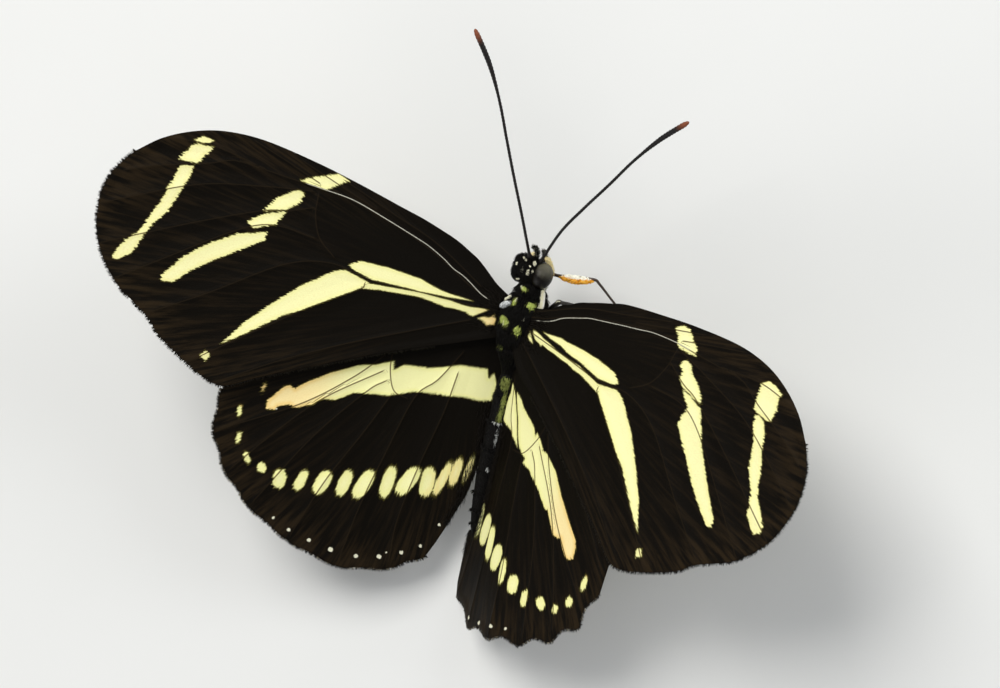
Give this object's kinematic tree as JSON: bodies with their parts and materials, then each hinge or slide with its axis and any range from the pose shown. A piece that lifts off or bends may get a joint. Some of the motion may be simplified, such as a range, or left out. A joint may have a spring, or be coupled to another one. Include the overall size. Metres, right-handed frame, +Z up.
{
  "type": "butterfly",
  "caption": "Life-size black and yellow striped butterfly with long narrow wings spread, slender body, clubbed feelers and an extended proboscis, standing on its legs.",
  "frame": {"origin": "under the middle of the model's bounding box, at the level its feet stand on", "axes": "+X across the wings to the butterfly's right, +Y along the body to the head, +Z up"},
  "size_m": [0.0778, 0.058, 0.0249],
  "materials": {
    "body_scales": "black scales and short hair with yellow-green spots",
    "abdomen_scales": "matt black scales with yellow side marks",
    "forewing_scales": "matt brown-black scales with pale yellow stripes",
    "hindwing_scales": "matt brown-black scales with a pale yellow band and a row of spots",
    "eye": "glossy dark brown facets",
    "antenna": "black, brown at the tip",
    "palp": "black and cream hair",
    "proboscis": "dark brown, with a pale yellow pollen load",
    "leg": "dark brown scales, paler beneath"
  },
  "bodies": {
    "root": {"abdomen": "abdomen_scales", "antenna_left": "antenna", "antenna_right": "antenna", "eye_left": "eye", "eye_right": "eye", "foreleg_left": "leg", "foreleg_right": "leg", "forewing_left": "forewing_scales", "forewing_right": "forewing_scales", "head": "body_scales", "hindleg_left_femur": "leg", "hindleg_left_tarsus": "leg", "hindleg_left_tibia": "leg", "hindleg_right_femur": "leg", "hindleg_right_tarsus": "leg", "hindleg_right_tibia": "leg", "hindwing_left": "hindwing_scales", "hindwing_right": "hindwing_scales", "midleg_left_femur": "leg", "midleg_left_tarsus": "leg", "midleg_left_tibia": "leg", "midleg_right_femur": "leg", "midleg_right_tarsus": "leg", "midleg_right_tibia": "leg", "palp_left": "palp", "palp_right": "palp", "proboscis": "proboscis", "thorax": "body_scales"}
  },
  "joints": []
}
